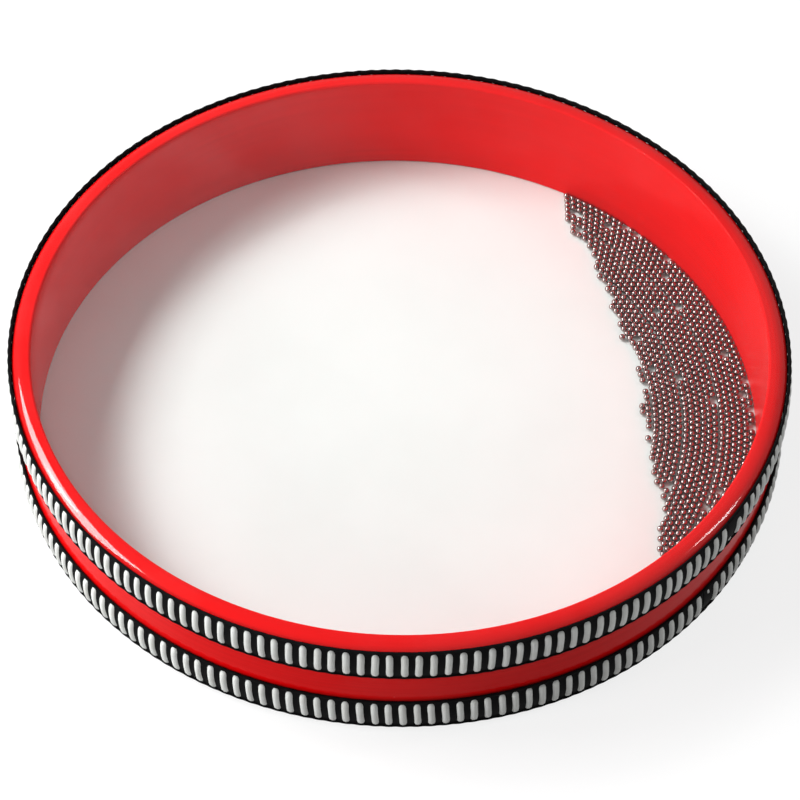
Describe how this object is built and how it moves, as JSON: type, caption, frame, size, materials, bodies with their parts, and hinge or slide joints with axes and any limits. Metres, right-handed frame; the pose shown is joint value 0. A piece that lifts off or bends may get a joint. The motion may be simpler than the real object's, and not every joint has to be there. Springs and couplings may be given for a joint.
{
  "type": "ocean drum",
  "caption": "Shallow round drum with a clear upper head, a white lower head and loose steel shot rolling between them, trimmed with ribbed black and white braids.",
  "frame": {"origin": "centre of the white head's outer face, on which the drum lies", "axes": "+Z out of the clear head, along the drum's axis; -Y towards the player and the picture's viewpoint; the pool of shot lies towards +X"},
  "size_m": [0.3998, 0.4, 0.0615],
  "materials": {
    "red_lacquer": "high gloss red lacquer over laminated wood",
    "clear_film": "clear glossy polyester film",
    "white_film": "smooth white satin film",
    "staple_steel": "galvanised wire",
    "black_braid": "woven black cord",
    "white_rib": "smooth white gimp cord",
    "steel_shot": "polished steel"
  },
  "bodies": {
    "drum": {"shell": "red_lacquer", "top_head": "clear_film", "bottom_head": "white_film", "top_staples": "staple_steel", "bottom_staples": "staple_steel", "upper_braid_tape": "black_braid", "upper_braid_ribs": "white_rib", "upper_braid_top_cord": "black_braid", "upper_braid_low_cord": "black_braid", "lower_braid_tape": "black_braid", "lower_braid_ribs": "white_rib", "lower_braid_top_cord": "black_braid", "lower_braid_low_cord": "black_braid"},
    "shot_rim": {"shot_wall_row": "steel_shot"},
    "shot_near": {"shot_near_outer": "steel_shot", "shot_near_inner": "steel_shot"},
    "shot_mid": {"shot_mid_outer": "steel_shot", "shot_mid_inner": "steel_shot"},
    "shot_front": {"shot_front_outer": "steel_shot", "shot_front_inner": "steel_shot"}
  },
  "joints": [
    {"name": "swirl", "type": "hinge", "parent": "drum", "child": "shot_rim", "pos_m": [0, 0, 0], "axis": [0, 0, 1], "continuous": true},
    {"name": "turn_over", "type": "slide", "parent": "shot_rim", "child": "shot_near", "axis": [0, 0, 1], "range_m": [0, 0.0567]},
    {"name": "run", "type": "slide", "parent": "shot_near", "child": "shot_mid", "axis": [-0.9903, -0.1392, 0], "range_m": [0, 0.24]},
    {"name": "spread", "type": "slide", "parent": "shot_mid", "child": "shot_front", "axis": [-0.9903, -0.1392, 0], "range_m": [0, 0.04]}
  ],
  "couplings": [
    {"joint": "spread", "follows": "run", "ratio": 0.16667}
  ]
}
